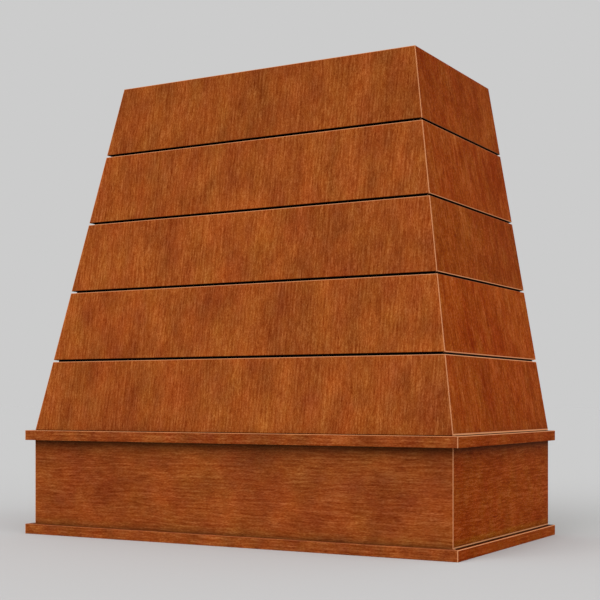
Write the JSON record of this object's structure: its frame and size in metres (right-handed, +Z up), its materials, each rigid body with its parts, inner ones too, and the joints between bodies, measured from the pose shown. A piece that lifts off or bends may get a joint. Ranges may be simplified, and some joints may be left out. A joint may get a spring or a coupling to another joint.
{
  "type": "range hood cover",
  "caption": "Tapered wooden range hood cover: horizontal board cladding with shadow grooves over a plain apron box between two square trims, open at back and bottom.",
  "frame": {"origin": "middle of the bounding box's floor: centred in width and depth, level with the bottom rim that stands on a bench or faces the cooktop", "axes": "+X across the hood to the right as seen from the room, +Y towards the wall, +Z up"},
  "size_m": [0.943, 0.508, 0.9144],
  "materials": {
    "board_stain": "auburn stained cherry with a satin lacquer, grain up the slope",
    "apron_stain": "auburn stained cherry with a satin lacquer, grain along the apron",
    "trim_stain": "auburn stained cherry with a satin lacquer, grain along the strip",
    "plywood": "sanded birch plywood with bare layered edges, stained dark where the grooves show it",
    "poplar": "planed bare poplar",
    "screw_steel": "yellow zinc plated"
  },
  "bodies": {
    "root": {"front_board_1": "board_stain", "front_board_2": "board_stain", "front_board_3": "board_stain", "front_board_4": "board_stain", "front_board_5": "board_stain", "left_board_1": "board_stain", "left_board_2": "board_stain", "left_board_3": "board_stain", "left_board_4": "board_stain", "left_board_5": "board_stain", "right_board_1": "board_stain", "right_board_2": "board_stain", "right_board_3": "board_stain", "right_board_4": "board_stain", "right_board_5": "board_stain", "front_backing_panel": "plywood", "left_backing_panel": "plywood", "right_backing_panel": "plywood", "front_apron": "apron_stain", "left_apron": "apron_stain", "right_apron": "apron_stain", "front_lower_trim": "trim_stain", "left_lower_trim": "trim_stain", "right_lower_trim": "trim_stain", "front_upper_trim": "trim_stain", "left_upper_trim": "trim_stain", "right_upper_trim": "trim_stain", "apron_deck": "plywood", "liner_panel": "plywood", "top_panel": "plywood", "apron_back_rail": "poplar", "front_liner_ledger": "poplar", "back_liner_ledger": "poplar", "left_liner_ledger": "poplar", "right_liner_ledger": "poplar", "left_corner_block": "poplar", "right_corner_block": "poplar", "left_hip_batten": "poplar", "right_hip_batten": "poplar", "left_rear_stile": "poplar", "right_rear_stile": "poplar", "front_top_cleat": "poplar", "left_top_cleat": "poplar", "right_top_cleat": "poplar", "hanging_rail": "poplar", "wall_cleat": "poplar", "liner_screw_1": "screw_steel", "liner_screw_2": "screw_steel", "liner_screw_3": "screw_steel", "liner_screw_4": "screw_steel", "liner_screw_5": "screw_steel", "liner_screw_6": "screw_steel", "top_screw_1": "screw_steel", "top_screw_2": "screw_steel", "top_screw_3": "screw_steel", "top_screw_4": "screw_steel", "top_screw_5": "screw_steel", "top_screw_6": "screw_steel"}
  },
  "joints": []
}
